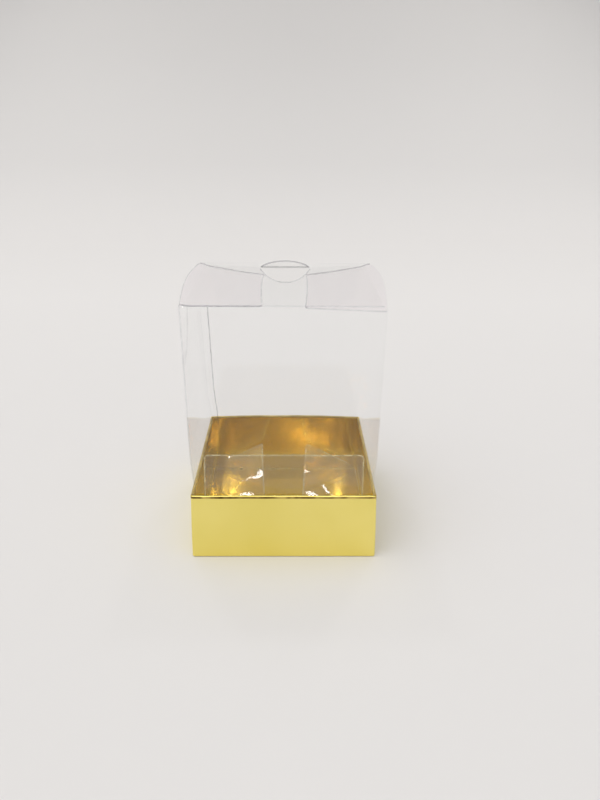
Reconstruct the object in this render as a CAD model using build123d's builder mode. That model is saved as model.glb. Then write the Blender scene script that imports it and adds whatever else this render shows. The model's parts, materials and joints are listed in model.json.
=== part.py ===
from build123d import *
import os
from math import cos, radians, sin, tan

# Favor box: a clear plastic tuck-end box standing in a shallow gold card tray.
# Each sheet is folded from one blank, and every panel between two creases is one piece.
# Origin at the middle of the tray's underside, +Z up, -Y the side with the lid's hinge.
# Lengths in millimetres, angles in degrees.

# Clear box
box_width = 50.0
box_depth = 50.0
box_height = 72.75
sheet = 0.3
crease_gap = 0.05

# Lid, hinged on the front wall and tucked in behind the back wall
lid_tilt = 0.9
lid_side_gap = 0.6
lid_back_gap = 1.5
tuck_length = 12.0
tuck_lean = 10.0
tuck_side_gap = 1.5
tuck_taper = 2.0
tuck_corner = 4.0
tuck_crease_gap = 0.1

# Half-moon thumb tab on the lid and the half-moon notch that it comes out of
tab_width = 15.0
tab_length = 4.7
tab_rise = 12.0
tab_root = 0.1
tab_clearance = 0.2
notch_side_gap = 0.4
notch_depth = 6.0

# Dust flaps at both ends of the box
flap_meeting_gap = 9.8
flap_lid_gap = 0.15
flap_taper = 11.0
flap_straight_taper = 0.5
flap_end_gap = 0.8
flap_tuck_gap = 0.4
flap_corner = 1.2
bottom_flap_lift = 0.15
bottom_flap_angle = 32.0

# Bottom tuck flap, longer than the lid's and sprung away from the front wall
bottom_tuck_length = 27.5
bottom_tuck_lean = 22.0
bottom_tuck_side_gap = 2.5

# Side walls, which bow out between the front and back walls, from just above the tray to their turned-in tops
side_bow = 2.9
bow_rim_gap = 1.0

# Glued side seam, inside the back left corner
glue_tab_width = 10.0
glue_tab_end_gap = 2.5
glue_tab_taper = 3.0

# Card tray with turned-over walls
tray_height = 20.0
card = 0.25
tray_clearance = 0.1
tray_tab_meeting_gap = 16.7
tray_tab_end_gap = 0.4
tray_tab_taper = 2.0

# Small rounds, limited by the sheet that they are on
sheet_round = sheet * 2 / 3
card_round = card * 3 / 5

# Clear walls
half_sheet = sheet / 2
half_width = box_width / 2
half_depth = box_depth / 2
inner_x = half_width - sheet
inner_y = half_depth - sheet
box_bottom = card
box_top = box_bottom + box_height

# Lid and tuck flap
lid_hinge_y = -half_depth + half_sheet
lid_hinge_z = box_top - half_sheet
front_wall_top = lid_hinge_z - half_sheet - crease_gap
lid_width = box_width - 2 * lid_side_gap
lid_slope = tan(radians(lid_tilt))
tuck_crease_y = inner_y - lid_back_gap
lid_run = tuck_crease_y - lid_hinge_y
tuck_crease_z = lid_hinge_z - lid_run * lid_slope
lid_length = lid_run / cos(radians(lid_tilt)) - half_sheet - tuck_crease_gap
tuck_width = 2 * (inner_x - tuck_side_gap)
bottom_tuck_width = 2 * (inner_x - bottom_tuck_side_gap)
notch_width = tab_width + 2 * notch_side_gap
notch_radius = ((notch_width / 2) ** 2 + notch_depth**2) / (2 * notch_depth)

# Dust flaps: the slanted edge passes in front of the tuck flap, and the lid's underside passes above
flap_hinge_x = inner_x - half_sheet - crease_gap
flap_length = flap_hinge_x - flap_meeting_gap / 2
flap_beside_tuck = flap_hinge_x - tuck_width / 2
flap_slant_root = (
    tuck_crease_y - half_sheet - flap_tuck_gap + flap_beside_tuck * flap_taper / flap_length
)
flap_square_root = inner_y - flap_end_gap
lid_underside = (
    lid_hinge_z - (flap_slant_root - lid_hinge_y) * lid_slope - half_sheet / cos(radians(lid_tilt))
)
flap_hinge_z = lid_underside - flap_lid_gap - half_sheet
side_wall_top = flap_hinge_z + half_sheet
bow_start = tray_height + bow_rim_gap
bottom_panel_top = box_bottom + sheet
bottom_flap_hinge_z = bottom_panel_top + bottom_flap_lift + half_sheet

# Tray: clear box, then lining, then corner tab on the two sides, then outer wall
well_x = half_width + tray_clearance
lining_x = well_x + card
side_wall_x = lining_x + card
tray_half_width = side_wall_x + card
well_y = half_depth + tray_clearance
lining_y = well_y + card
tray_half_depth = lining_y + card
end_wall_top = tray_height - (tray_half_depth - well_y) / 2
side_wall_rim = tray_height - (tray_half_width - well_x) / 2

# Creases as planes: X along the crease, Y into the folded panel, Z out of its face
lid_crease = Plane(
    origin=(0, lid_hinge_y, lid_hinge_z),
    x_dir=(1, 0, 0),
    z_dir=(0, sin(radians(lid_tilt)), cos(radians(lid_tilt))),
)
tuck_crease = Plane(
    origin=(0, tuck_crease_y, tuck_crease_z),
    x_dir=(1, 0, 0),
    z_dir=(0, cos(radians(tuck_lean)), -sin(radians(tuck_lean))),
)
tab_crease = Plane(
    origin=lid_crease.from_local_coords((0, lid_length, 0)),
    x_dir=(1, 0, 0),
    z_dir=(0, -sin(radians(tab_rise - lid_tilt)), cos(radians(tab_rise - lid_tilt))),
)
bottom_tuck_crease = Plane(
    origin=(0, -tuck_crease_y, box_bottom + half_sheet),
    x_dir=(1, 0, 0),
    z_dir=(0, -cos(radians(bottom_tuck_lean)), sin(radians(bottom_tuck_lean))),
)
left_flap_crease = Plane(
    origin=(-flap_hinge_x, 0, flap_hinge_z),
    x_dir=(0, -1, 0),
    z_dir=(0, 0, 1),
)
bottom_left_flap_crease = Plane(
    origin=(-flap_hinge_x, 0, bottom_flap_hinge_z),
    x_dir=(0, -1, 0),
    z_dir=(-sin(radians(bottom_flap_angle)), 0, cos(radians(bottom_flap_angle))),
)


def across(crease):
    """Plane square to a crease, with its X running into the folded panel."""
    return Plane(origin=crease.origin, x_dir=crease.y_dir, z_dir=crease.x_dir)


def folded_strip(length):
    """Side view of a folded panel: a strip of sheet with a half-round bead on its crease."""
    with BuildSketch() as strip:
        with BuildLine():
            Polyline((0, half_sheet), (length, half_sheet), (length, -half_sheet), (0, -half_sheet))
            ThreePointArc((0, -half_sheet), (-half_sheet, 0), (0, half_sheet))
        make_face()
    return strip.sketch


def half_moon(width, length, root):
    """Half-moon on a crease: an arc of this width and reach, with a straight root behind the crease."""
    with BuildSketch() as moon:
        with BuildLine():
            ThreePointArc((-width / 2, 0), (0, length), (width / 2, 0))
            Polyline((width / 2, 0), (width / 2, -root), (-width / 2, -root), (-width / 2, 0))
        make_face()
    return moon.sketch


def left_bow(outer, inner_bow):
    """Left wall seen from above: a band whose outer line bows by the full amount, and its inner face by inner_bow."""
    with BuildSketch() as band:
        with BuildLine():
            ThreePointArc((-outer, -inner_y), (-outer - side_bow, 0), (-outer, inner_y))
            Line((-outer, inner_y), (-inner_x, inner_y))
            if inner_bow > 0:
                ThreePointArc((-inner_x, inner_y), (-inner_x - inner_bow, 0), (-inner_x, -inner_y))
            else:
                Line((-inner_x, inner_y), (-inner_x, -inner_y))
            Line((-inner_x, -inner_y), (-outer, -inner_y))
        make_face()
    return band.sketch


def tuck_flap_outline(width, length, taper):
    """Tuck flap seen square on, narrower by the taper on each side of its rounded free edge."""
    free_half = width / 2 - taper
    with BuildSketch() as outline:
        with BuildLine():
            Polyline(
                (-width / 2, -sheet),
                (width / 2, -sheet),
                (width / 2, 0),
                (free_half, length),
                (-free_half, length),
                (-width / 2, 0),
                close=True,
            )
        make_face()
        fillet(outline.vertices().group_by(Axis.Y)[-1], radius=tuck_corner)
    return outline.sketch


def dust_flap_outline(tuck_side):
    """Left dust flap seen square on, slanted on the tuck side (1 is the front, -1 the back)."""
    slant_tip = flap_slant_root - flap_taper
    square_tip = flap_square_root - flap_straight_taper
    with BuildSketch() as outline:
        with BuildLine():
            Polyline(
                (tuck_side * flap_slant_root, -sheet),
                (tuck_side * flap_slant_root, 0),
                (tuck_side * slant_tip, flap_length),
                (-tuck_side * square_tip, flap_length),
                (-tuck_side * flap_square_root, 0),
                (-tuck_side * flap_square_root, -sheet),
                close=True,
            )
        make_face()
        fillet(outline.vertices().group_by(Axis.Y)[-1], radius=flap_corner)
    return outline.sketch


# Outlines that several pieces share
lid_strip = folded_strip(lid_length)
tuck_strip = folded_strip(tuck_length)
bottom_tuck_strip = folded_strip(bottom_tuck_length)
flap_strip = folded_strip(flap_length)
thumb_tab = half_moon(tab_width, tab_length, tab_root)
thumb_tab_hole = half_moon(tab_width + 2 * tab_clearance, tab_length + tab_clearance, sheet)
top_flap_outline = dust_flap_outline(tuck_side=-1)
bottom_flap_outline = dust_flap_outline(tuck_side=1)
tuck_outline = tuck_flap_outline(tuck_width, tuck_length, tuck_taper)
bottom_tuck_outline = tuck_flap_outline(bottom_tuck_width, bottom_tuck_length, 0)

# Clear walls
with BuildPart() as front_wall:
    with BuildSketch(Plane.XZ.offset(inner_y)):
        with Locations((0, box_bottom)):
            Rectangle(box_width, front_wall_top - box_bottom, align=(Align.CENTER, Align.MIN))
    extrude(amount=sheet)
    fillet(front_wall.edges().filter_by(Axis.Z).group_by(Axis.Y)[0], radius=sheet_round)

with BuildPart() as back_wall:
    with BuildSketch(Plane.XZ.offset(-half_depth)):
        with Locations((0, box_bottom)):
            Rectangle(box_width, box_height, align=(Align.CENTER, Align.MIN))
        with Locations((0, box_top - notch_depth + notch_radius)):
            Circle(notch_radius, mode=Mode.SUBTRACT)
    extrude(amount=sheet)
    fillet(back_wall.edges().filter_by(Axis.Z).group_by(Axis.Y)[-1], radius=sheet_round)

with BuildPart() as left_wall:
    with BuildSketch(Plane.YZ.offset(-half_width)):
        with Locations((0, box_bottom)):
            Rectangle(2 * inner_y, bow_start - box_bottom, align=(Align.CENTER, Align.MIN))
    extrude(amount=sheet)
    with BuildSketch(Plane.XY.offset(bow_start)):
        with Locations((-half_width + half_sheet, 0)):
            Rectangle(sheet, 2 * inner_y)
    with BuildSketch(Plane.XY.offset(side_wall_top)):
        add(left_bow(half_width, side_bow))
    loft(ruled=True)
    with BuildSketch(Plane.XY.offset(side_wall_top - sheet)):
        add(left_bow(inner_x + half_sheet, 0))
    extrude(amount=sheet)

with BuildPart() as right_wall:
    mirror(left_wall.part, about=Plane.YZ)

with BuildPart() as glue_tab:
    with BuildSketch(Plane.XZ.offset(-inner_y)):
        with BuildLine():
            glue_low = box_bottom + glue_tab_end_gap
            glue_high = side_wall_top - glue_tab_end_gap
            glue_edge = -inner_x + glue_tab_width
            Polyline(
                (-inner_x, glue_low),
                (glue_edge, glue_low + glue_tab_taper),
                (glue_edge, glue_high - glue_tab_taper),
                (-inner_x, glue_high),
                close=True,
            )
        make_face()
    extrude(amount=sheet)

# Lid with its thumb tab, and the tuck flap that the tab is cut out of
with BuildPart() as lid_panel:
    with BuildSketch(across(lid_crease)):
        add(lid_strip)
    extrude(amount=lid_width / 2, both=True)
    with BuildSketch(tab_crease):
        add(thumb_tab)
    extrude(amount=half_sheet, both=True)

with BuildPart() as lid_tuck_flap:
    with BuildSketch(across(tuck_crease)):
        add(tuck_strip)
    extrude(amount=tuck_width / 2, both=True)
    with BuildSketch(tuck_crease):
        add(tuck_outline)
    extrude(amount=sheet, both=True, mode=Mode.INTERSECT)
    with BuildSketch(tuck_crease):
        add(thumb_tab_hole)
    extrude(amount=sheet, both=True, mode=Mode.SUBTRACT)

# Dust flaps under the lid
with BuildPart() as left_dust_flap:
    with BuildSketch(across(left_flap_crease)):
        add(flap_strip)
    extrude(amount=inner_y, both=True)
    with BuildSketch(left_flap_crease):
        add(top_flap_outline)
    extrude(amount=sheet, both=True, mode=Mode.INTERSECT)

with BuildPart() as right_dust_flap:
    mirror(left_dust_flap.part, about=Plane.YZ)

# Bottom closure, hinged on the back wall and tucked in behind the front wall, with sprung dust flaps
with BuildPart() as bottom_panel:
    with BuildSketch(Plane.XY.offset(box_bottom)):
        bottom_front = -tuck_crease_y + half_sheet + tuck_crease_gap
        with Locations((0, bottom_front)):
            Rectangle(lid_width - 2 * sheet, inner_y - bottom_front, align=(Align.CENTER, Align.MIN))
    extrude(amount=sheet)

with BuildPart() as bottom_tuck_flap:
    with BuildSketch(across(bottom_tuck_crease)):
        add(bottom_tuck_strip)
    extrude(amount=bottom_tuck_width / 2, both=True)
    with BuildSketch(bottom_tuck_crease):
        add(bottom_tuck_outline)
    extrude(amount=sheet, both=True, mode=Mode.INTERSECT)

with BuildPart() as bottom_left_dust_flap:
    with BuildSketch(across(bottom_left_flap_crease)):
        add(flap_strip)
    extrude(amount=inner_y, both=True)
    with BuildSketch(bottom_left_flap_crease):
        add(bottom_flap_outline)
    extrude(amount=sheet, both=True, mode=Mode.INTERSECT)

with BuildPart() as bottom_right_dust_flap:
    mirror(bottom_left_dust_flap.part, about=Plane.YZ)

# Tray floor and outer walls
with BuildPart() as tray_floor:
    with BuildSketch(Plane.XY):
        Rectangle(2 * side_wall_x, 2 * lining_y)
    extrude(amount=card)

with BuildPart() as tray_front_wall:
    with BuildSketch(Plane.XZ.offset(lining_y)):
        Rectangle(2 * side_wall_x, end_wall_top, align=(Align.CENTER, Align.MIN))
    extrude(amount=card)
    fillet(tray_front_wall.edges().group_by(Axis.Z)[0].group_by(Axis.Y)[0], radius=card_round)

with BuildPart() as tray_back_wall:
    mirror(tray_front_wall.part, about=Plane.XZ)

with BuildPart() as tray_left_wall:
    with BuildSketch(Plane.YZ.offset(-tray_half_width)):
        Rectangle(2 * tray_half_depth, side_wall_rim, align=(Align.CENTER, Align.MIN))
    extrude(amount=card)
    fillet(tray_left_wall.edges().group_by(Axis.Z)[0].group_by(Axis.X)[0], radius=card_round)

with BuildPart() as tray_right_wall:
    mirror(tray_left_wall.part, about=Plane.YZ)

# Linings, which turn over the rim and hang inside the outer walls
with BuildPart() as tray_front_lining:
    with BuildSketch(Plane.YZ):
        with BuildLine():
            rim_middle = -(well_y + tray_half_depth) / 2
            ThreePointArc((-well_y, end_wall_top), (rim_middle, tray_height), (-tray_half_depth, end_wall_top))
            Polyline(
                (-tray_half_depth, end_wall_top),
                (-lining_y, end_wall_top),
                (-lining_y, card),
                (-well_y, card),
                (-well_y, end_wall_top),
            )
        make_face()
    extrude(amount=well_x, both=True)

with BuildPart() as tray_back_lining:
    mirror(tray_front_lining.part, about=Plane.XZ)

with BuildPart() as tray_left_lining:
    with BuildSketch(Plane.XZ):
        with BuildLine():
            rim_middle = -(well_x + tray_half_width) / 2
            ThreePointArc((-well_x, side_wall_rim), (rim_middle, tray_height), (-tray_half_width, side_wall_rim))
            Polyline(
                (-tray_half_width, side_wall_rim),
                (-lining_x, side_wall_rim),
                (-lining_x, card),
                (-well_x, card),
                (-well_x, side_wall_rim),
            )
        make_face()
    extrude(amount=lining_y, both=True)

with BuildPart() as tray_right_lining:
    mirror(tray_left_lining.part, about=Plane.YZ)

# Corner tabs, which fold from the front and back walls into the double side walls
with BuildPart() as tray_front_left_tab:
    with BuildSketch(Plane.YZ.offset(-side_wall_x)):
        with BuildLine():
            tab_low = card + tray_tab_end_gap
            tab_high = side_wall_rim - tray_tab_end_gap
            tab_end = -tray_tab_meeting_gap / 2
            Polyline(
                (-lining_y, tab_low),
                (tab_end, tab_low + tray_tab_taper),
                (tab_end, tab_high - tray_tab_taper),
                (-lining_y, tab_high),
                close=True,
            )
        make_face()
    extrude(amount=card)

with BuildPart() as tray_back_left_tab:
    mirror(tray_front_left_tab.part, about=Plane.XZ)

with BuildPart() as tray_front_right_tab:
    mirror(tray_front_left_tab.part, about=Plane.YZ)

with BuildPart() as tray_back_right_tab:
    mirror(tray_back_left_tab.part, about=Plane.YZ)

# Every piece under its own name
pieces = {
    "front_wall": front_wall,
    "back_wall": back_wall,
    "left_wall": left_wall,
    "right_wall": right_wall,
    "glue_tab": glue_tab,
    "lid_panel": lid_panel,
    "lid_tuck_flap": lid_tuck_flap,
    "left_dust_flap": left_dust_flap,
    "right_dust_flap": right_dust_flap,
    "bottom_panel": bottom_panel,
    "bottom_tuck_flap": bottom_tuck_flap,
    "bottom_left_dust_flap": bottom_left_dust_flap,
    "bottom_right_dust_flap": bottom_right_dust_flap,
    "tray_floor": tray_floor,
    "tray_front_wall": tray_front_wall,
    "tray_back_wall": tray_back_wall,
    "tray_left_wall": tray_left_wall,
    "tray_right_wall": tray_right_wall,
    "tray_front_lining": tray_front_lining,
    "tray_back_lining": tray_back_lining,
    "tray_left_lining": tray_left_lining,
    "tray_right_lining": tray_right_lining,
    "tray_front_left_tab": tray_front_left_tab,
    "tray_front_right_tab": tray_front_right_tab,
    "tray_back_left_tab": tray_back_left_tab,
    "tray_back_right_tab": tray_back_right_tab,
}

os.makedirs("parts", exist_ok=True)
for name, piece in pieces.items():
    piece.part.label = name
    export_step(piece.part, f"parts/{name}.step")
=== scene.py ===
import json
import math

import bmesh
import bpy
from mathutils import Matrix, Vector, noise


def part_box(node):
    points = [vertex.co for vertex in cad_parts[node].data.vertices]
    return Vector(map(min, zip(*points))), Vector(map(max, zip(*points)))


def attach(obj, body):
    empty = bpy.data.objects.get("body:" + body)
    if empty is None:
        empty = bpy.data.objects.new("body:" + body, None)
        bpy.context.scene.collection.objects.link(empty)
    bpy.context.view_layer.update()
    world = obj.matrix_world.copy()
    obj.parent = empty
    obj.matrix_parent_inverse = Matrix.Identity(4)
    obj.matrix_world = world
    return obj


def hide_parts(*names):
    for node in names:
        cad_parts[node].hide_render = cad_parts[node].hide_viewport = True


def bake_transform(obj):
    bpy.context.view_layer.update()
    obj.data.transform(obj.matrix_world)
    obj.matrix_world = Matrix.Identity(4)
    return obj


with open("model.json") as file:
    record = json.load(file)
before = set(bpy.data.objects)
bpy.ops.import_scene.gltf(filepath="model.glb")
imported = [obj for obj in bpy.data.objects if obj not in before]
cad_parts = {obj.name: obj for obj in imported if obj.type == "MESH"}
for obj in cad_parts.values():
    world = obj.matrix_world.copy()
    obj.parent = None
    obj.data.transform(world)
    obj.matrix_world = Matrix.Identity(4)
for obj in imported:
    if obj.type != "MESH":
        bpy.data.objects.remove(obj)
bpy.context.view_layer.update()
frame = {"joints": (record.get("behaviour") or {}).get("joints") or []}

scene = bpy.context.scene
scene.view_settings.view_transform = "Standard"
# Many clear sheets lie one behind the other.
scene.cycles.transparent_max_bounces = 64

MM = 0.001


def mm_box(node):
    """A CAD node's lowest and highest corner in millimetres."""
    low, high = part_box(node)
    return low / MM, high / MM


def joint(name):
    return next(j for j in frame["joints"] if j["name"] == name)


def clamp(value, low=0.0, high=1.0):
    return max(low, min(high, value))


def smooth(value, start, end):
    """0 before start, 1 after end, and a smooth rise between them."""
    t = clamp((value - start) / (end - start))
    return t * t * (3 - 2 * t)


def ripple(x, y, seed, size, amount):
    """A gentle unevenness of the given size and amount, in millimetres."""
    return amount * noise.noise(Vector((x / size + seed, y / size - seed, seed * 1.7)))


# Sizes of the clear box and the tray, read from the CAD solids, in millimetres

front_low, front_high = mm_box("front_wall")
floor_low, floor_high = mm_box("tray_floor")
tab_low, tab_high = mm_box("glue_tab")
panel_low, panel_high = mm_box("bottom_panel")
flap_low, flap_high = mm_box("right_dust_flap")
_, back_high = mm_box("back_wall")
_, side_high = mm_box("left_wall")
_, lid_high = mm_box("lid_panel")
_, bottom_tuck_high = mm_box("bottom_tuck_flap")
_, lining_high = mm_box("tray_front_lining")
_, tray_side_high = mm_box("tray_right_wall")
tray_low, _ = mm_box("tray_front_wall")
side_lining_low, _ = mm_box("tray_right_lining")

sheet = front_high.y - front_low.y
card = floor_high.z - floor_low.z
half_box = back_high.y - sheet / 2
box_bottom = front_low.z
rim_top = lining_high.z

# Thin sheets, cut to an outline and bent
# A clear sheet's list of materials has its face first, and then those that are numbered here.

EDGE, CREASE, GLUED, FOLD, SEAM = 1, 2, 3, 4, 5
edge_width = 0.34
fold_steps = 6
points_per_fold = fold_steps + 1
cut_tolerance = 1e-5
merge_distance = 1e-3
sharp_angle = math.radians(38)


def walk(points):
    """The lengths along a polyline to its points, and a function that gives the point at a length."""
    lengths = [0.0]
    for a, b in zip(points, points[1:]):
        lengths.append(lengths[-1] + math.dist(a, b))

    def at(s):
        s = clamp(s, 0.0, lengths[-1])
        i = 0
        while i < len(points) - 2 and lengths[i + 1] < s:
            i += 1
        share = (s - lengths[i]) / max(lengths[i + 1] - lengths[i], 1e-9)
        return tuple(a + (b - a) * share for a, b in zip(points[i], points[i + 1]))

    return lengths, at


def round_folds(corners, radius):
    """A polyline with its right-angled corners rounded."""
    points = [corners[0]]
    for before, corner, after in zip(corners, corners[1:], corners[2:]):
        into = [(c - b) / math.dist(before, corner) for b, c in zip(before, corner)]
        out = [(a - c) / math.dist(corner, after) for c, a in zip(corner, after)]
        centre = [c - radius * i + radius * o for c, i, o in zip(corner, into, out)]
        for k in range(points_per_fold):
            turn = math.pi / 2 * k / fold_steps
            points.append(tuple(
                m - radius * o * math.cos(turn) + radius * i * math.sin(turn)
                for m, i, o in zip(centre, into, out)))
    points.append(corners[-1])
    return points


def arc(centre, radius, start, end, steps):
    """Points of an arc in the flat sheet, angles in degrees."""
    points = []
    for k in range(steps + 1):
        turn = math.radians(start + (end - start) * k / steps)
        points.append((centre[0] + radius * math.cos(turn), centre[1] + radius * math.sin(turn)))
    return points


def rounded(corners, radii, steps=6):
    """A closed outline with each corner rounded by its own radius."""
    points = []
    count = len(corners)
    for i, radius in enumerate(radii):
        corner = Vector(corners[i])
        if radius == 0:
            points.append(tuple(corner))
            continue
        before = (Vector(corners[i - 1]) - corner).normalized()
        after = (Vector(corners[(i + 1) % count]) - corner).normalized()
        opening = before.angle(after)
        reach = radius / math.tan(opening / 2)
        centre = corner + (before + after).normalized() * (radius / math.sin(opening / 2))
        first = corner + before * reach - centre
        last = corner + after * reach - centre
        sweep = first.angle_signed(last)
        for k in range(steps + 1):
            turn = -sweep * k / steps
            points.append((
                centre.x + first.x * math.cos(turn) - first.y * math.sin(turn),
                centre.y + first.x * math.sin(turn) + first.y * math.cos(turn)))
    return points


def bent_sheet(name, outline, place, step, thickness, materials, cuts=((), ()), raw=None, mark=None):
    """A sheet of even thickness: an outline in flat millimetres, cut into small faces and bent by
    place(u, v). With raw, the sheet has a narrow border, which shows as a cut edge where raw(u, v) is true.
    mark(u, v) picks another material."""
    shape = bmesh.new()
    corners = [shape.verts.new((u, v, 0)) for u, v in outline]
    edges = [shape.edges.new((corners[i - 1], corners[i])) for i in range(len(corners))]
    bmesh.ops.triangle_fill(shape, use_beauty=True, use_dissolve=False, edges=edges)
    if raw is not None:
        ring = bmesh.ops.inset_region(
            shape, faces=shape.faces[:], thickness=edge_width, use_boundary=True, use_even_offset=True)
        for face in ring["faces"]:
            middle = face.calc_center_median()
            if raw(middle.x, middle.y):
                face.material_index = EDGE
    for axis in (0, 1):
        values = [point[axis] for point in outline]
        low, high = min(values), max(values)
        count = max(1, math.ceil((high - low) / step[axis]))
        lines = [low + (high - low) * i / count for i in range(1, count)]
        lines += [c for c in cuts[axis] if low < c < high]
        normal = Vector((1, 0, 0)) if axis == 0 else Vector((0, 1, 0))
        for line in sorted(lines):
            everything = shape.verts[:] + shape.edges[:] + shape.faces[:]
            bmesh.ops.bisect_plane(
                shape, geom=everything, dist=cut_tolerance, plane_co=normal * line, plane_no=normal)
    bmesh.ops.remove_doubles(shape, verts=shape.verts[:], dist=merge_distance)
    bmesh.ops.dissolve_degenerate(shape, dist=merge_distance, edges=shape.edges[:])
    return thicken(name, shape, place, thickness, materials, raw is not None, mark)


def filled(values, step):
    """The values in order, with more put between them where they are further apart than step."""
    ordered = sorted(set(round(value, 5) for value in values))
    done = ordered[:1]
    for low, high in zip(ordered, ordered[1:]):
        count = max(1, math.ceil((high - low) / step))
        done += [low + (high - low) * k / count for k in range(1, count + 1)]
    return done


def bent_strip(name, rows, columns, half_width, place, thickness, materials, mark):
    """A sheet made of rows of four-sided faces. The columns are shares of half_width(v), from -1 to 1."""
    shape = bmesh.new()
    grid = [[shape.verts.new((share * half_width(v), v, 0)) for share in columns] for v in rows]
    for low, high in zip(grid, grid[1:]):
        for i in range(len(columns) - 1):
            shape.faces.new((low[i], low[i + 1], high[i + 1], high[i]))
    return thicken(name, shape, place, thickness, materials, False, mark)


def thicken(name, shape, place, thickness, materials, bordered, mark):
    """Bends a flat shape by place(u, v), and gives it its thickness and materials."""
    for face in shape.faces:
        face.normal_update()
        if face.normal.z < 0:
            face.normal_flip()
        if mark is not None:
            middle = face.calc_center_median()
            chosen = mark(middle.x, middle.y)
            if chosen is not None:
                face.material_index = chosen
    for vert in shape.verts:
        vert.co = Vector(place(vert.co.x, vert.co.y)) * MM
    mesh = bpy.data.meshes.new(name)
    shape.to_mesh(mesh)
    shape.free()
    piece = bpy.data.objects.new(name, mesh)
    scene.collection.objects.link(piece)
    for material in materials:
        mesh.materials.append(material)
    thick = piece.modifiers.new("thickness", "SOLIDIFY")
    thick.thickness = thickness * MM
    thick.offset = 0
    thick.use_even_offset = bordered
    thick.material_offset_rim = 0 if bordered else EDGE
    done = bpy.data.meshes.new_from_object(piece.evaluated_get(bpy.context.evaluated_depsgraph_get()))
    piece.modifiers.clear()
    piece.data = done
    done.name = name
    bpy.data.meshes.remove(mesh)
    done.shade_smooth()
    done.set_sharp_from_angle(angle=sharp_angle)
    return piece


# Node helpers for materials and light

# Most of a noise lies between these two values.
noise_low = 0.3
noise_high = 0.7


def new_material(name):
    material = bpy.data.materials.new(name)
    material.use_nodes = True
    nodes = material.node_tree.nodes
    nodes.clear()
    output = nodes.new("ShaderNodeOutputMaterial")
    return material, nodes, material.node_tree.links, output


def math_node(nodes, links, operation, first, second):
    node = nodes.new("ShaderNodeMath")
    node.operation = operation
    for socket, value in zip(node.inputs, (first, second)):
        if isinstance(value, (int, float)):
            socket.default_value = value
        else:
            links.new(value, socket)
    return node.outputs[0]


def noise_node(nodes, links, scale, detail, stretch=(1, 1, 1)):
    coordinates = nodes.new("ShaderNodeTexCoord")
    mapping = nodes.new("ShaderNodeMapping")
    mapping.inputs["Scale"].default_value = stretch
    texture = nodes.new("ShaderNodeTexNoise")
    texture.inputs["Scale"].default_value = scale
    texture.inputs["Detail"].default_value = detail
    links.new(coordinates.outputs["Object"], mapping.inputs["Vector"])
    links.new(mapping.outputs[0], texture.inputs["Vector"])
    return texture.outputs["Fac"]


def map_range(nodes, links, value, start, end, low, high, interpolation="LINEAR"):
    """A value between start and end, turned into one between low and high."""
    node = nodes.new("ShaderNodeMapRange")
    node.interpolation_type = interpolation
    for name, number in (("From Min", start), ("From Max", end), ("To Min", low), ("To Max", high)):
        node.inputs[name].default_value = number
    links.new(value, node.inputs["Value"])
    return node.outputs[0]


def spread(nodes, links, value, low, high):
    """The middle of a noise drawn out to the range low to high."""
    return map_range(nodes, links, value, noise_low, noise_high, low, high)


def colour_ramp(nodes, links, value, stops):
    """The colour that belongs to a value, from stops of position and colour."""
    node = nodes.new("ShaderNodeValToRGB")
    elements = node.color_ramp.elements
    while len(elements) < len(stops):
        elements.new(0.5)
    for element, (position, colour) in zip(elements, stops):
        element.position = position
        element.color = (*colour, 1)
    links.new(value, node.inputs["Fac"])
    return node.outputs["Color"]


def mix_shaders(nodes, links, share, first, second):
    """A share of the second shader, and the rest of the first."""
    node = nodes.new("ShaderNodeMixShader")
    links.new(share, node.inputs["Fac"])
    links.new(first, node.inputs[1])
    links.new(second, node.inputs[2])
    return node.outputs[0]


def vector_node(nodes, links, operation, vector):
    """A vector node whose first input is linked."""
    node = nodes.new("ShaderNodeVectorMath")
    node.operation = operation
    links.new(vector, node.inputs[0])
    return node


def shades(colour, *tones):
    """The colour made lighter or darker by each tone."""
    return [tuple(tone * part for part in colour) for tone in tones]


# Materials

def clear_sheet_material(name, tint, mirror_share, haze_low, haze_high, painted_sheen_back=0.0):
    """Clear glossy plastic: see-through, mirror-like at a slant, with a faint uneven whitish haze that is
    partly the sheet's own slight haze and partly painted sheen.
    The last argument adds more of that haze towards the back of the box, as painted sheen."""
    slant_power, slant_gain = 5.0, 10
    painted_sheen_back_start, painted_sheen_back_end = 0.011, 0.021
    material, nodes, links, output = new_material(name)
    weight = nodes.new("ShaderNodeLayerWeight")
    weight.inputs["Blend"].default_value = 0.5
    slant = math_node(nodes, links, "POWER", weight.outputs["Facing"], slant_power)
    gloss_share = math_node(nodes, links, "MULTIPLY", slant, slant_gain * mirror_share)
    gloss_share = math_node(nodes, links, "ADD", gloss_share, mirror_share)
    through = nodes.new("ShaderNodeBsdfTransparent")
    through.inputs["Color"].default_value = (*tint, 1)
    gloss = nodes.new("ShaderNodeBsdfGlossy")
    gloss.inputs["Color"].default_value = (1, 1, 1, 1)
    smudge = noise_node(nodes, links, 90, 3)
    links.new(spread(nodes, links, smudge, 0.02, 0.07), gloss.inputs["Roughness"])
    mirror = mix_shaders(nodes, links, gloss_share, through.outputs[0], gloss.outputs[0])
    haze = nodes.new("ShaderNodeBsdfDiffuse")
    haze.inputs["Color"].default_value = (0.80, 0.80, 0.82, 1)
    wipe = noise_node(nodes, links, 60, 4, (1, 1, 0.35))
    haze_share = spread(nodes, links, wipe, haze_low, haze_high)
    if painted_sheen_back > 0:
        coordinates = nodes.new("ShaderNodeTexCoord")
        parts = nodes.new("ShaderNodeSeparateXYZ")
        links.new(coordinates.outputs["Object"], parts.inputs[0])
        more = map_range(nodes, links, parts.outputs["Y"], painted_sheen_back_start, painted_sheen_back_end, 0.0, painted_sheen_back)
        haze_share = math_node(nodes, links, "ADD", haze_share, more)
    hazy = mix_shaders(nodes, links, haze_share, mirror, haze.outputs[0])
    links.new(hazy, output.inputs["Surface"])
    return material


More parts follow.
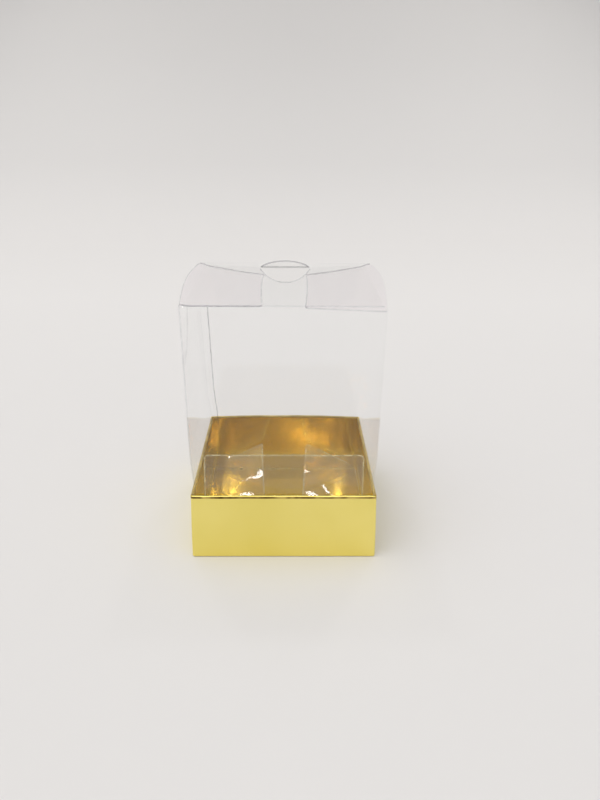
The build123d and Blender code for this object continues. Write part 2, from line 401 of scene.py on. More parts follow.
def clear_line_material(name, dark, pale, share, tint=(1.0, 1.0, 1.05)):
    """Cut edges and scored creases of the clear sheet, drawn as grey lines: partly the light that a cut or a
    score really scatters, and partly painted shade for the darkness that an edge or a fold shows.
    share is how much of the line is scattered light."""
    unevenness = 0.08
    material, nodes, links, output = new_material(name)
    body = nodes.new("ShaderNodeBsdfDiffuse")
    grain = noise_node(nodes, links, 400, 2)
    stops = list(zip((noise_low, noise_high), shades(tint, dark, pale)))
    links.new(colour_ramp(nodes, links, grain, stops), body.inputs["Color"])
    through = nodes.new("ShaderNodeBsdfTransparent")
    through.inputs["Color"].default_value = (0.96, 0.96, 0.97, 1)
    cover = spread(nodes, links, grain, share - unevenness, share + unevenness)
    line = mix_shaders(nodes, links, cover, through.outputs[0], body.outputs[0])
    links.new(line, output.inputs["Surface"])
    return material


def gold_foil_material(name, dull, bright, smoothest, roughest):
    """Gold metallised film on card: bright, with a faint cloudiness and fine unevenness of the card below."""
    material, nodes, links, output = new_material(name)
    foil = nodes.new("ShaderNodeBsdfPrincipled")
    foil.inputs["Metallic"].default_value = 1.0
    cloud = noise_node(nodes, links, 45, 4)
    stops = ((noise_low, dull), (noise_high, bright))
    links.new(colour_ramp(nodes, links, cloud, stops), foil.inputs["Base Color"])
    wear = noise_node(nodes, links, 130, 5)
    links.new(spread(nodes, links, wear, smoothest, roughest), foil.inputs["Roughness"])
    fibre = noise_node(nodes, links, 900, 3)
    bump = nodes.new("ShaderNodeBump")
    bump.inputs["Strength"].default_value = 0.06
    bump.inputs["Distance"].default_value = 0.0001
    links.new(fibre, bump.inputs["Height"])
    links.new(bump.outputs[0], foil.inputs["Normal"])
    links.new(foil.outputs[0], output.inputs["Surface"])
    return material


def shaded_foil_material(name, dark, pale):
    """Gold foil darkened by painted shade: duller and darker, in uneven dashes."""
    material, nodes, links, output = new_material(name)
    foil = nodes.new("ShaderNodeBsdfPrincipled")
    foil.inputs["Metallic"].default_value = 0.7
    foil.inputs["Roughness"].default_value = 0.4
    dashes = noise_node(nodes, links, 260, 2, (1, 1, 0.2))
    links.new(colour_ramp(nodes, links, dashes, ((0.38, dark), (0.66, pale))), foil.inputs["Base Color"])
    links.new(foil.outputs[0], output.inputs["Surface"])
    return material


def card_edge_material():
    """The raw cut edge of the card: pale, with the foil's gold at its border."""
    material, nodes, links, output = new_material("card_edge")
    body = nodes.new("ShaderNodeBsdfPrincipled")
    body.inputs["Roughness"].default_value = 0.75
    fibre = noise_node(nodes, links, 1500, 3)
    stops = ((0.35, (0.62, 0.50, 0.24)), (0.65, (0.80, 0.72, 0.50)))
    links.new(colour_ramp(nodes, links, fibre, stops), body.inputs["Base Color"])
    links.new(body.outputs[0], output.inputs["Surface"])
    return material


# A film is given by its tint, the share that it mirrors, and its least and most haze.
# A line is given by its darkest and palest grey and the share of scattered light.
clear = [
    clear_sheet_material("clear_sheet_film", (0.995, 0.996, 0.996), 0.026, 0.001, 0.006),
    # The edge, crease, fold and seam lines are partly painted shade; the crease line is the darkest.
    clear_line_material("clear_sheet_edge", 0.24, 0.40, 0.40),
    clear_line_material("clear_sheet_crease", 0.06, 0.14, 0.62),
    clear_sheet_material("clear_sheet_glued", (1.0, 0.999, 0.999), 0.001, 0.0005, 0.001),
    clear_line_material("clear_sheet_fold", 0.30, 0.44, 0.12),
    clear_line_material("clear_sheet_seam", 0.24, 0.40, 0.22),
]
clear_lines = clear[1:]
lid_film = clear_sheet_material("clear_lid_film", (1.0, 1.0, 0.999), 0.020, 0.0005, 0.003)
flap_film = clear_sheet_material("clear_flap_film", (0.999, 0.988, 0.996), 0.020, 0.0005, 0.003)
# The bottom sheets' edges are pale and warm: a painted highlight, tinted with painted gold light reflected
# from the tray.
bottom_edge = clear_line_material("clear_bottom_edge", 0.78, 0.98, 0.26, (1.0, 0.90, 0.60))
# The panel's and the tuck flap's greyer tints are painted shade that darkens the tray's floor and lining seen
# through them.
panel_film = clear_sheet_material("clear_panel_film", (0.96, 0.955, 0.955), 0.03, 0.003, 0.012)
tuck_film = clear_sheet_material("clear_tuck_film", (0.935, 0.925, 0.93), 0.035, 0.006, 0.02)
# The bottom flaps' film has more haze towards the back: painted sheen for the pale patch at their back tips.
sprung_film = clear_sheet_material("clear_sprung_film", (0.998, 0.994, 0.994), 0.024, 0.003, 0.010, 0.05)

# The gold card's list has its outer foil, the cut edge, and then those that are numbered here.
SHADED_FOLD, SHADED_RIM, INSIDE = 2, 3, 4
gold = [
    gold_foil_material("gold_foil", (0.91, 0.77, 0.20), (0.98, 0.84, 0.26), 0.19, 0.27),
    card_edge_material(),
    # Painted shade: a dark line along the front rim's fold, and a darker, duller gold over the back and side
    # rims' rolls.
    shaded_foil_material("foil_crease", (0.10, 0.055, 0.004), (0.62, 0.45, 0.12)),
    shaded_foil_material("foil_rim_painted_shade", (0.42, 0.31, 0.10), (0.60, 0.46, 0.16)),
    # The inside foil is the same foil but smoother; its oranger colour is painted shade, set for the deeper
    # tone that the lining and floor take inside the tray.
    gold_foil_material("gold_foil_inside", (0.93, 0.73, 0.20), (1.0, 0.80, 0.26), 0.06, 0.10),
]


def clear_piece(piece, body, *nodes):
    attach(piece, body)
    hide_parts(*nodes)


def gold_piece(piece, *nodes):
    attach(piece, "tray")
    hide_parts(*nodes)


# The four clear walls, one folded sheet that bows out at the sides towards its top

bow_start = rim_top + 1.0
bow_top = side_high.z
bow_most = 1.05
front_spread = 0.5
back_spread = 1.6
side_bulge = 4.2
side_bulge_back = 5.2
rim_squeeze = 0.65
squeeze_start = 2
squeeze_end = rim_top + 12
left_top = 72.72
right_top = 71.25
right_top_rise = 1.5


def bow(y, z):
    """How far the sides stand out from flat at a depth and a height, most behind the middle.
    The tray's rim squeezes them in."""
    t = clamp((y + half_box) / (2 * half_box))
    top = front_spread * (1 - t) + back_spread * t + t * (1 - t) * (side_bulge + side_bulge_back * t)
    rise = clamp((z - bow_start) / (bow_top - bow_start), 0.0, bow_most)
    squeeze = rim_squeeze * smooth(z, squeeze_start, rim_top) * (1 - smooth(z, rim_top, squeeze_end))
    return top * rise - squeeze


def bowed(x, y, z):
    return (x * (1 + bow(y, z) / half_box), y, z)


def side_top(side, y):
    """Height of a side wall's crease. The right one is lower at the front."""
    if side < 0:
        return left_top
    return right_top + right_top_rise * smooth(y, -25, 12)


seam_inset = 1.1
lap_gap = 0.03
inner_lap = half_box - sheet - lap_gap
sleeve_corners = [
    (-half_box + seam_inset, half_box), (half_box, half_box), (half_box, -half_box), (-half_box, -half_box),
    (-half_box, inner_lap), (tab_high.x, inner_lap),
]
fold_radius = 0.45
sleeve_lengths, sleeve_at = walk(round_folds(sleeve_corners, fold_radius))
sleeve_length = sleeve_lengths[-1]
fold_starts = [1 + number * points_per_fold for number in range(4)]


def fold_middle(first):
    """Length along the sheet to the middle of the upright fold that starts at its point number first."""
    return (sleeve_lengths[first] + sleeve_lengths[first + fold_steps]) / 2


folds = [fold_middle(first) for first in fold_starts]
back_right, front_right, front_left, back_left = folds
fold_reach = 0.6
fold_margin = 0.12
fold_line = 0.16
top_step = 0.1
lap_root = back_left + fold_reach
lap_start = back_left + 1.0
left_wall_end = back_left + 0.7
tab_slant = 3
notch_radius = 8.2
notch_centre = (half_box - seam_inset, 75.2)
notch_angle = math.degrees(math.asin((notch_centre[1] - back_high.z) / notch_radius))
front_top = front_high.z - 0.1
flat_side_top = 72.0
sleeve_outline = [
    (0, box_bottom), (lap_root, box_bottom),
    (lap_root, tab_low.z), (sleeve_length, tab_low.z + tab_slant),
    (sleeve_length, tab_high.z - tab_slant), (lap_root, tab_high.z),
    (lap_root, flat_side_top), (front_left + top_step, flat_side_top),
    (front_left - top_step, front_top), (front_right + top_step, front_top),
    (front_right - top_step, flat_side_top), (back_right + top_step, flat_side_top),
    (back_right - top_step, back_high.z),
    *arc(notch_centre, notch_radius, -notch_angle, -180 + notch_angle, 16),
    (0, back_high.z),
]
seam_shown_low = 17.0
seam_shown_top = 59.5
notch_shown_top = 71.2


def place_sleeve(s, z):
    x, y = sleeve_at(s)
    on_right = back_right < s < front_right
    on_left = front_left < s < left_wall_end
    if on_right or on_left:
        top = side_top(1 if on_right else -1, y)
        z = box_bottom + (z - box_bottom) * (top - box_bottom) / (flat_side_top - box_bottom)
    return bowed(x, y, z)


def raw_sleeve(s, z):
    on_seam = s < edge_width and z < seam_shown_top
    in_notch = abs(s - notch_centre[0]) < notch_radius - 1 and z > back_high.z - 7
    return on_seam or in_notch


def mark_sleeve(s, z):
    """The lap is glued, and the seam, the notch's edge and the front left fold show only in part."""
    if s > lap_start:
        return GLUED
    if s < edge_width:
        return SEAM if seam_shown_low < z < seam_shown_top else 0
    near_notch = math.dist((s, z), notch_centre) < notch_radius + edge_width
    if abs(s - notch_centre[0]) < notch_radius and near_notch:
        return FOLD if z < notch_shown_top else 0
    return FOLD if abs(s - front_left) < fold_line else None


fold_cuts = [s for s in sleeve_lengths if any(abs(s - f) < fold_reach for f in folds)]
fold_cuts += [front_left - fold_line, front_left + fold_line]
for first in fold_starts:
    fold_cuts += [sleeve_lengths[first] - fold_margin, sleeve_lengths[first + fold_steps] + fold_margin]
walls = bent_sheet(
    "clear_walls", sleeve_outline, place_sleeve, (2.5, 3.0), sheet, clear,
    cuts=(fold_cuts + [lap_start], [seam_shown_low, seam_shown_top, notch_shown_top]),
    raw=raw_sleeve, mark=mark_sleeve)
clear_piece(walls, "clear_box", "front_wall", "back_wall", "left_wall", "right_wall", "glue_tab")

# The lid with its thumb tab, and the tuck flap that the tab is cut from

lid_hinge = Vector((0, front_low.y + sheet / 2, front_high.z + 0.2))
lid_tilt = math.radians(0.9)
lid_half_width = lid_high.x
tuck_crease = Vector((0, 23.2, 72.1))
lid_depth = (tuck_crease.y - 0.5 - lid_hinge.y) / math.cos(lid_tilt)
lid_lift_start = 15
tab_half = 7.5
tab_length = 4.7
tab_rise = math.radians(12)
tab_radius = (tab_half ** 2 + tab_length ** 2) / (2 * tab_length)
crease_half = 0.25


def half_moon(start, reach, steps=14):
    """Points of the tab's curved edge, from right to left, standing on a line at v = start."""
    centre = (0, start + reach - tab_radius)
    half_angle = math.degrees(math.asin(tab_half / tab_radius))
    return arc(centre, tab_radius, 90 - half_angle, 90 + half_angle, steps)


lid_fold_radius = 0.25
lid_fold_length = lid_fold_radius * math.pi / 2
lid_outline = [
    (-lid_half_width, -lid_fold_length), (lid_half_width, -lid_fold_length), (lid_half_width, lid_depth),
    *half_moon(lid_depth, tab_length), (-lid_half_width, lid_depth),
]


def corner_lift(u):
    """The back corners of the lid stand up, because the flaps below press on them."""
    return 0.55 * smooth(abs(u), 10, lid_half_width)


def place_lid(u, v):
    if v < 0:
        bend = -v / lid_fold_radius
        y = lid_hinge.y + lid_fold_radius * (1 - math.sin(bend))
        return u, y, lid_hinge.z - lid_fold_radius * (1 - math.cos(bend))
    lift = max(0.0, v - lid_depth) * math.tan(tab_rise)
    lift += corner_lift(u) * smooth(v, lid_lift_start, lid_depth)
    y = lid_hinge.y + lid_fold_radius + v * math.cos(lid_tilt)
    return u, y, lid_hinge.z - v * math.sin(lid_tilt) + lift


def raw_lid(u, v):
    return abs(u) < tab_half + 0.1 and v > lid_depth


def mark_lid(u, v):
    # The lid's front fold and its tab's crease are drawn as lines darkened with painted shade.
    if -crease_half < v < 0:
        return FOLD
    return CREASE if abs(u) < tab_half - 0.2 and abs(v - lid_depth) < crease_half else None


lid_cuts = [-lid_fold_length * k / 4 for k in range(4)]
lid_cuts += [lid_depth - crease_half, lid_depth, lid_depth + crease_half]
lid = bent_sheet(
    "clear_lid", lid_outline, place_lid, (3, 3), sheet, [lid_film] + clear_lines,
    cuts=((), lid_cuts), raw=raw_lid, mark=mark_lid)
clear_piece(lid, "lid", "lid_panel")

tuck_half = 23.2
tuck_length = 12.0
tuck_taper = 2
tuck_lean = math.radians(10)
tuck_corners = [
    (-tuck_half, 0), (-tuck_half + tuck_taper, tuck_length),
    (tuck_half - tuck_taper, tuck_length), (tuck_half, 0)]
tuck_outline = rounded(tuck_corners, (0, 4, 4, 0)) + half_moon(0, tab_length)


def place_tuck(u, v):
    z = tuck_crease.z - v * math.cos(tuck_lean) + corner_lift(u) * (1 - smooth(v, 0, tuck_length))
    return u, tuck_crease.y - v * math.sin(tuck_lean), z


def raw_tuck(u, v):
    """The tuck flap has a border, but none of it shows as a cut edge."""
    return False


tuck = bent_sheet("clear_lid_tuck", tuck_outline, place_tuck, (3, 2), sheet, clear, raw=raw_tuck)
clear_piece(tuck, "lid_tuck", "lid_tuck_flap")

# Dust flaps under the lid, each turning on the bowed top edge of its wall

flap_hinge_x = joint("right_flap_hinge")["pos_m"][0] / MM
flap_root_x = flap_hinge_x + 0.2
flap_fold_x = flap_hinge_x + 0.1
flap_free_x = flap_low.x
flap_front = flap_low.y
flap_back = flap_high.y + 1.2
flap_slant_shown = 14.8
flap_corner = 1.2
lid_gap = 0.05


def make_dust_flap(side, name, front_drop):
    """side is -1 for the left flap and 1 for the right one. The lid presses the flap down, and its wall
    bows out. front_drop is how far its front edge hangs below the lid."""
    corners = [
        (flap_free_x, flap_front), (flap_root_x, flap_front), (flap_root_x, flap_back),
        (flap_free_x, flap_slant_shown)]
    outline = rounded(corners, (flap_corner, 0, 0, flap_corner))

    def place(u, y):
        share = max(0.0, (u - flap_free_x) / (flap_hinge_x - flap_free_x))
        x = u + bow(y, flat_side_top) * (0.45 + 0.55 * share ** 1.5)
        under_lid = lid_hinge.z - (y - lid_hinge.y) * math.tan(lid_tilt) - sheet - lid_gap
        under_lid += corner_lift(min(x, lid_half_width)) * smooth(y - lid_hinge.y, lid_lift_start, lid_depth)
        rise = smooth(x, lid_half_width - 1.5, lid_half_width + 1.2)
        z = under_lid - front_drop * smooth(-y, -5, 25) * (0.3 + 0.7 * share)
        z -= 0.3 * (1 - share) * smooth(y, 5, 14)
        z = z * (1 - rise) + (side_top(side, y) + 0.1) * rise
        return side * x, y, z

    def raw(u, y):
        return u < flap_hinge_x - 0.2

    def mark(u, y):
        if u > flap_fold_x:
            return FOLD if side < 0 else 0
        at_front = y < flap_front + edge_width
        at_free_edge = u < flap_free_x + edge_width
        return FOLD if at_free_edge or (at_front and side > 0) else None

    flap = bent_sheet(
        name, outline, place, (1.2, 2.5), sheet, [flap_film] + clear_lines,
        cuts=([flap_fold_x], ()), raw=raw, mark=mark)
    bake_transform(flap)
    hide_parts("left_dust_flap" if side < 0 else "right_dust_flap")


make_dust_flap(-1, "clear_left_flap", 0.0)
make_dust_flap(1, "clear_right_flap", 1.2)

# The bottom closure: panel, its long tuck flap, and two dust flaps that spring up

bottom_z = (panel_low.z + panel_high.z) / 2
bottom_outline = [
    (-panel_high.x, panel_low.y), (panel_high.x, panel_low.y), (panel_high.x, panel_high.y),
    (-panel_high.x, panel_high.y)]


def place_bottom(u, v):
    return u, v, bottom_z


bottom = bent_sheet("clear_bottom", bottom_outline, place_bottom, (6, 6), sheet, [panel_film, bottom_edge])
clear_piece(bottom, "clear_box", "bottom_panel")

bottom_tuck_half = bottom_tuck_high.x + 0.8
bottom_tuck_root = bottom_tuck_half - 0.8
bottom_tuck_front = -23.2
bottom_tuck_length = 27.5
bottom_tuck_lean = math.radians(22)
bottom_corner = 1.2
bottom_tuck_outline = rounded(
    [(-bottom_tuck_root, 0), (bottom_tuck_root, 0), (bottom_tuck_half, bottom_tuck_length),
     (-bottom_tuck_half, bottom_tuck_length)], (0, 0, bottom_corner, bottom_corner))


def place_bottom_tuck(u, v):
    wave = ripple(u, v, 6.4, 11, 0.5) * smooth(v, 2, 12)
    y = bottom_tuck_front + v * math.sin(bottom_tuck_lean) + wave * math.cos(bottom_tuck_lean)
    z = bottom_z + v * math.cos(bottom_tuck_lean) - wave * math.sin(bottom_tuck_lean)
    return u, y, z


def raw_bottom_tuck(u, v):
    return v > 1


bottom_tuck = bent_sheet(
    "clear_bottom_tuck", bottom_tuck_outline, place_bottom_tuck, (1.5, 1.5), sheet, [tuck_film, bottom_edge],
    raw=raw_bottom_tuck)
clear_piece(bottom_tuck, "clear_box", "bottom_tuck_flap")

bottom_hinge = Vector(joint("bottom_right_flap_hinge")["pos_m"]) / MM
bottom_flap_root = 24.2
bottom_flap_slant = 12.4
bottom_flap_free_back = 23.7
spring_length = 3.5
spring_steps = 24


def make_bottom_flap(side, name, length, back_angles, front_angles):
    """A dust flap sprung up from its crease, steep at first and then flatter, and higher at the back.
    The angles are the slope at the crease and at the free edge, in degrees."""
    corners = [
        (0, -bottom_flap_root + 0.8), (length, -bottom_flap_slant), (length, bottom_flap_free_back),
        (0, bottom_flap_root)]
    outline = rounded(corners, (0, bottom_corner, bottom_corner, 0))

    def place(u, y):
        share = smooth(y, -18, 24)
        steep = front_angles[0] + (back_angles[0] - front_angles[0]) * share
        flat = front_angles[1] + (back_angles[1] - front_angles[1]) * share
        x, z = bottom_hinge.x, bottom_hinge.z
        for k in range(spring_steps):
            along = u * (k + 0.5) / spring_steps
            slope = math.radians(flat + (steep - flat) * math.exp(-along / spring_length))
            x -= u / spring_steps * math.cos(slope)
            z += u / spring_steps * math.sin(slope)
        z += ripple(u, y, 3.3 + side, 6, 0.35) * smooth(u, 3, 9)
        return side * x, y, z

    def raw(u, y):
        return u > 0.5

    flap = bent_sheet(name, outline, place, (1.4, 1.6), sheet, [sprung_film, bottom_edge], raw=raw)
    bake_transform(flap)
    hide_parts("bottom_left_dust_flap" if side < 0 else "bottom_right_dust_flap")


make_bottom_flap(-1, "clear_bottom_left_flap", 19.6, (46, 27), (38, 11))
make_bottom_flap(1, "clear_bottom_right_flap", 20.2, (46, 26), (34, 13))

# The gold tray: each wall is one strip of card, folded up from the floor, over the rim and down inside

curl_radius = 0.5
curl_steps = 5
tray_lean = 0.55
foot_width = 1.0
foot_radius = 0.3
puff = 0.10
roll_steps = 10
fold_before = 0.5
fold_after = 0.1
lining_start = 0.3
grid_step = 1.5


def lean(z):
    """How far the tray's sides lean in at a height."""
    return tray_lean * clamp(z / rim_top, 0.0, 1.05) ** 1.5


def wall_section(outer, inner):
    """The card's mid line across a wall, as points of distance out and height, from under the floor to the
    lining's foot, with the numbers of the first and last point of the roll over the rim."""
    low = floor_low.z + card / 2
    points = round_folds([(outer - foot_width, low), (outer, low), (outer, low + 4)], foot_radius)
    puff_out = outer + puff
    roll_radius = (puff_out - inner) / 2
    roll_middle = puff_out - roll_radius
    roll_height = rim_top - card / 2 - roll_radius
    points += [
        (outer, roll_height - 3.5), (outer + 0.02, roll_height - 2.0), (outer + 0.07, roll_height - 0.8)]
    roll_first = len(points)
    for k in range(roll_steps + 1):
        turn = math.pi * k / roll_steps
        out = roll_middle + roll_radius * math.cos(turn)
        points.append((out, roll_height + roll_radius * math.sin(turn)))
    points += [(inner, roll_height - 0.8), (inner, roll_height - 2.5), (inner, floor_high.z + 0.05)]
    return points, roll_first, roll_first + roll_steps


def make_tray_wall(name, turn, outer, inner, half_length, lining_half, seed, at_side, lift, nodes):
    """A wall strip, made for the front and turned about the upright axis. Only the front and back ones
    curl round the corners, and only the side ones lean in. lift raises the middle of the rim, and seed
    gives the wall waves of its own."""
    curl = not at_side
    section, roll_first, roll_last = wall_section(outer, inner)
    lengths, at = walk(section)
    foot_end = lengths[points_per_fold]
    roll_start = lengths[roll_first]
    roll_end = lengths[roll_last]
    straight = half_length - (curl_radius if curl else 0)
    reach = straight + (curl_radius * math.pi / 2 if curl else 0)
    wave = 0.05 if at_side else 0.10
    rim_wave = 0.04 if at_side else 0.07
    spin = Matrix.Rotation(turn, 3, "Z")

    def half_width(v):
        """The foot and the lining are mitred at the corners."""
        if v < foot_end:
            return lining_half + (reach - lining_half) * v / foot_end
        over = clamp((v - roll_start) / (roll_end - roll_start))
        return reach + (lining_half - reach) * over

    def place(u, v):
        out, z = at(v)
        along = u
        if curl and abs(u) > straight:
            bend = (abs(u) - straight) / curl_radius
            along = math.copysign(straight + curl_radius * math.sin(bend), u)
            out -= curl_radius * (1 - math.cos(bend))
        ends = 1 - smooth(abs(u), straight - 4, straight)
        top = smooth(z, rim_top - 5, rim_top)
        out += ripple(u, z, seed, 17, wave) * ends * smooth(z, 1, 6)
        out += ripple(u, 0, seed + 5, 5, rim_wave) * ends * top
        if at_side:
            out -= lean(z)
        else:
            along *= 1 - lean(z) / half_length
        near_rim = smooth(z, rim_top - 1.5, rim_top)
        arch = 1 - (u / half_length) ** 2
        z += ripple(u, 0, seed + 9, 9, 0.08) * ends * near_rim
        z += lift * (0.35 + 0.65 * arch) * smooth(z, 4, rim_top)
        return tuple(spin @ Vector((along, -out, z)))

    def mark(u, v):
        if v > roll_end + lining_start:
            return INSIDE
        # The back and side rims are darkened over their roll, and the front rim has a dark line at its fold:
        # painted shade.
        if lift > 0 or at_side:
            return SHADED_RIM if v > roll_start - fold_before else None
        return SHADED_FOLD if roll_start - fold_before < v < roll_start + fold_after else None

    across = [reach]
    if curl:
        across += [straight + (reach - straight) * k / curl_steps for k in range(curl_steps)]
        across += [straight - fold_margin]
    columns = [u / reach for u in filled(across + [-u for u in across], grid_step)]
    borders = [
        foot_end + fold_margin, roll_start - fold_before, roll_start + fold_after, roll_end + lining_start]
    rows = filled(lengths + borders, grid_step)
    wall = bent_strip(name, rows, columns, half_width, place, card, gold, mark)
    gold_piece(wall, *nodes)


front_outer = -tray_low.y - card / 2
front_inner = -lining_high.y + card / 2
front_half = tray_side_high.x - card / 2 + 0.02
front_lining_half = side_lining_low.x - 0.05
side_outer = tray_side_high.x - card / 2
side_inner = side_lining_low.x + card / 2
side_half = 24.9
side_lining_half = 24.75
back_rim_lift = 0.75
make_tray_wall(
    "gold_front_wall", 0, front_outer, front_inner, front_half, front_lining_half, 1.3, False, 0.0,
    ("tray_front_wall", "tray_front_lining"))
make_tray_wall(
    "gold_back_wall", math.pi, front_outer, front_inner, front_half, front_lining_half, 4.1, False,
    back_rim_lift, ("tray_back_wall", "tray_back_lining"))
make_tray_wall(
    "gold_right_wall", math.pi / 2, side_outer, side_inner, side_half, side_lining_half, 7.7, True, 0.0,
    ("tray_right_wall", "tray_right_lining"))
make_tray_wall(
    "gold_left_wall", -math.pi / 2, side_outer, side_inner, side_half, side_lining_half, 9.2, True, 0.0,
    ("tray_left_wall", "tray_left_lining"))

floor_half = side_outer - 1.1
floor_middle = (floor_low.z + floor_high.z) / 2
floor_outline = [
    (-floor_half, -floor_half), (floor_half, -floor_half),
    (floor_half, floor_half), (-floor_half, floor_half)]


def place_tray_floor(u, v):
    inside = smooth(floor_half - max(abs(u), abs(v)), 0, 6)
    return u, v, floor_middle + 0.12 * inside * (0.5 + ripple(u, v, 2.2, 15, 0.8))


def mark_floor(u, v):
    return INSIDE


tray_floor = bent_sheet("gold_floor", floor_outline, place_tray_floor, (3, 3), card, gold, mark=mark_floor)
gold_piece(tray_floor, "tray_floor")


def make_corner_tab(node):
    """A tab folded from the end of the front or back wall, hidden between a side wall and its lining."""
    low, high = mm_box(node)
    side = 1 if high.x > 0 else -1
    end = 1 if high.y > 0 else -1
    middle = abs(low.x + high.x) / 2
    root = end * (max(abs(low.y), abs(high.y)) - 0.7)
    tip = end * min(abs(low.y), abs(high.y))
    outline = rounded([(root, low.z), (root, high.z), (tip, high.z - 3), (tip, low.z + 3)], (0, 0, 2, 2))

    def place_tab(y, z):
        return side * (middle - lean(z)), y, z

    tab = bent_sheet(node.replace("tray_", "gold_"), outline, place_tab, (3, 3), card, gold)
    gold_piece(tab, node)


for node in ("tray_front_left_tab", "tray_front_right_tab", "tray_back_left_tab", "tray_back_right_tab"):
    make_corner_tab(node)

# Floor, backdrop, light and camera, in metres

def floor_material():
    """Pale paper, with painted shade in its colour that makes it a little darker up the backdrop."""
    paper_colour = (1.0, 0.975, 0.95)
    positions = (0.0, 0.20, 0.44, 0.60, 0.84, 1.0)
    # The tones are painted shade: darker towards the back and up the backdrop.
    tones = (0.75, 0.75, 0.68, 0.63, 0.61, 0.61)
    material, nodes, links, output = new_material("studio_paper")
    paper = nodes.new("ShaderNodeBsdfPrincipled")
    paper.inputs["Roughness"].default_value = 0.85
    paper.inputs["Specular IOR Level"].default_value = 0.2
    place = nodes.new("ShaderNodeNewGeometry")
    parts = nodes.new("ShaderNodeSeparateXYZ")
    links.new(place.outputs["Position"], parts.inputs[0])
    height = math_node(nodes, links, "MULTIPLY", parts.outputs["Z"], 1.5)
    along = math_node(nodes, links, "ADD", parts.outputs["Y"], height)
    share = map_range(nodes, links, along, 0.0, 1.25, 0.0, 1.0)
    stops = list(zip(positions, shades(paper_colour, *tones)))
    links.new(colour_ramp(nodes, links, share, stops), paper.inputs["Base Color"])
    links.new(paper.outputs[0], output.inputs["Surface"])
    return material


def make_floor():
    """A pale sheet of paper that lies flat and sweeps up behind the object."""
    sweep_start, sweep_radius, sweep_steps = 0.45, 0.4, 24
    height, half_width, near = 1.6, 2.0, -2.0
    gap_below = 0.00005
    section = [(near, 0.0), (sweep_start, 0.0)]
    for k in range(1, sweep_steps + 1):
        turn = math.pi / 2 * k / sweep_steps
        section.append((sweep_start + sweep_radius * math.sin(turn), sweep_radius * (1 - math.cos(turn))))
    section.append((sweep_start + sweep_radius, height))
    verts = []
    for y, z in section:
        verts += [(-half_width, y, z - gap_below), (half_width, y, z - gap_below)]
    faces = [(2 * i, 2 * i + 1, 2 * i + 3, 2 * i + 2) for i in range(len(section) - 1)]
    mesh = bpy.data.meshes.new("studio_floor")
    mesh.from_pydata(verts, [], faces)
    mesh.shade_smooth()
    mesh.materials.append(floor_material())
    paper = bpy.data.objects.new("studio_floor", mesh)
    scene.collection.objects.link(paper)


def make_world():
    """The room's soft light: brightest from above on the left, with the dark shape of the person who takes
    the picture in front."""
    brightest = Vector((-0.4, -0.35, 0.85)).normalized()
    sky_colour = (1.0, 1.0, 1.01)
    positions = (0.0, 0.50, 0.75, 1.0)
    tones = (0.28, 0.34, 0.58, 0.96)
    front_gain, back_gain = 1.7, 1.6
    person_way = Vector((0, -0.857, 0.515)).normalized()
    person_inner, person_outer, person_tone = math.radians(11), math.radians(24), 0.44
    world = bpy.data.worlds.new("studio_world")
    scene.world = world
    world.use_nodes = True
    nodes = world.node_tree.nodes
    links = world.node_tree.links
    nodes.clear()
    output = nodes.new("ShaderNodeOutputWorld")
    sky = nodes.new("ShaderNodeBackground")
    sky.inputs["Strength"].default_value = 1.175
    direction = nodes.new("ShaderNodeTexCoord").outputs["Generated"]
    parts = nodes.new("ShaderNodeSeparateXYZ")
    links.new(direction, parts.inputs[0])
    ceiling = vector_node(nodes, links, "DOT_PRODUCT", direction)
    ceiling.inputs[1].default_value = brightest
    stops = list(zip(positions, shades(sky_colour, *tones)))
    colour = colour_ramp(nodes, links, ceiling.outputs["Value"], stops)
    room = vector_node(nodes, links, "SCALE", colour)
    towards_back = map_range(nodes, links, parts.outputs["Y"], -1, 1, front_gain, back_gain)
    links.new(towards_back, room.inputs["Scale"])
    person = vector_node(nodes, links, "DOT_PRODUCT", direction)
    person.inputs[1].default_value = person_way
    shade = map_range(
        nodes, links, person.outputs["Value"], math.cos(person_outer), math.cos(person_inner),
        1.0, person_tone, "SMOOTHSTEP")
    lit_room = vector_node(nodes, links, "SCALE", room.outputs[0])
    links.new(shade, lit_room.inputs["Scale"])
    links.new(lit_room.outputs[0], sky.inputs["Color"])
    links.new(sky.outputs[0], output.inputs["Surface"])


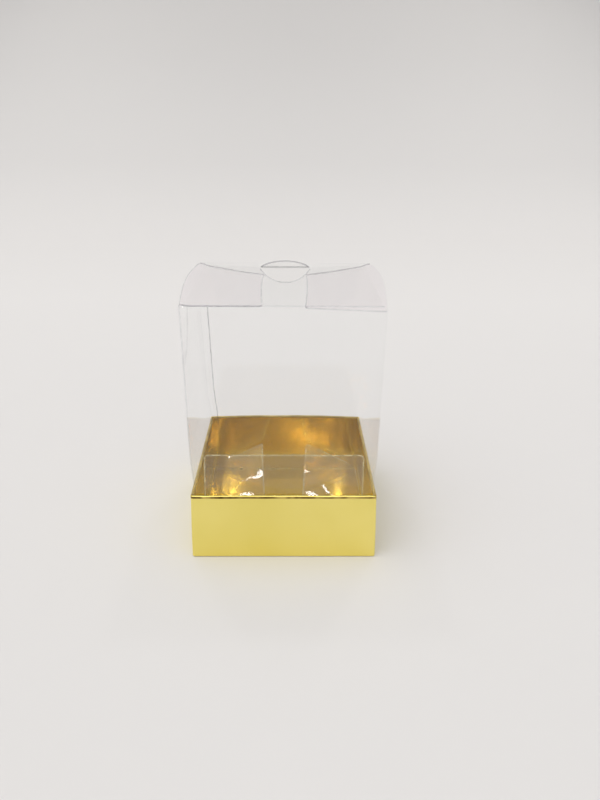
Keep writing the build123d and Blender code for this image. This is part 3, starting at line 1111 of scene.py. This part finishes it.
def make_lamp(name, place, size, power, target_height=0.03):
    """A rectangular lamp that shines at a point above the middle of the tray."""
    lamp = bpy.data.lights.new(name, "AREA")
    lamp.shape = "RECTANGLE"
    lamp.size, lamp.size_y = size
    lamp.energy = power
    lamp.color = (1.0, 0.99, 0.97)
    lamp_object = bpy.data.objects.new(name, lamp)
    lamp_object.location = place
    way = Vector((0, 0, target_height)) - Vector(place)
    lamp_object.rotation_euler = way.to_track_quat("-Z", "Y").to_euler()
    scene.collection.objects.link(lamp_object)


def make_camera():
    """The photograph's view, found from the corners of the box and the tray."""
    image_width, image_height = 600, 800
    focal_pixels = 666.0
    place = Vector((1.5645, -181.547, 115.956)) * MM
    pitch, yaw, roll = 0.4082, 0.0167, -0.0094
    forward = Vector((math.sin(yaw) * math.cos(pitch), math.cos(yaw) * math.cos(pitch), -math.sin(pitch)))
    level = Vector((math.cos(yaw), -math.sin(yaw), 0))
    below = forward.cross(level)
    right = math.cos(roll) * level + math.sin(roll) * below
    down = -math.sin(roll) * level + math.cos(roll) * below
    data = bpy.data.cameras.new("camera")
    data.sensor_width = 36
    data.lens = focal_pixels * data.sensor_width / max(image_width, image_height)
    data.clip_start = 0.01
    data.clip_end = 20
    camera = bpy.data.objects.new("camera", data)
    turn = Matrix((right, -down, -forward)).transposed().to_4x4()
    camera.matrix_world = Matrix.Translation(place) @ turn
    scene.collection.objects.link(camera)
    scene.camera = camera


make_floor()
make_world()
make_lamp("high_lamp", (0.10, -1.00, 1.03), (0.08, 0.08), 0.4)
make_lamp("low_lamp", (-0.25, -1.20, 0.50), (0.08, 0.08), 0.3)
make_lamp("back_left_lamp", (-0.37, 0.70, 0.47), (0.09, 0.09), 0.5)
make_lamp("back_right_lamp", (0.37, 0.70, 0.47), (0.09, 0.09), 0.5)
# These three are small, and are there for the gleams that they make on the foil and the bottom flaps.
make_lamp("back_spot", (0.035, 0.70, 0.378), (0.014, 0.024), 0.010)
make_lamp("spot_0", (-0.054, -0.300, 0.203), (0.006, 0.010), 0.0016, 0.02)
make_lamp("spot_1", (0.044, -0.300, 0.202), (0.006, 0.010), 0.0024, 0.02)
make_camera()
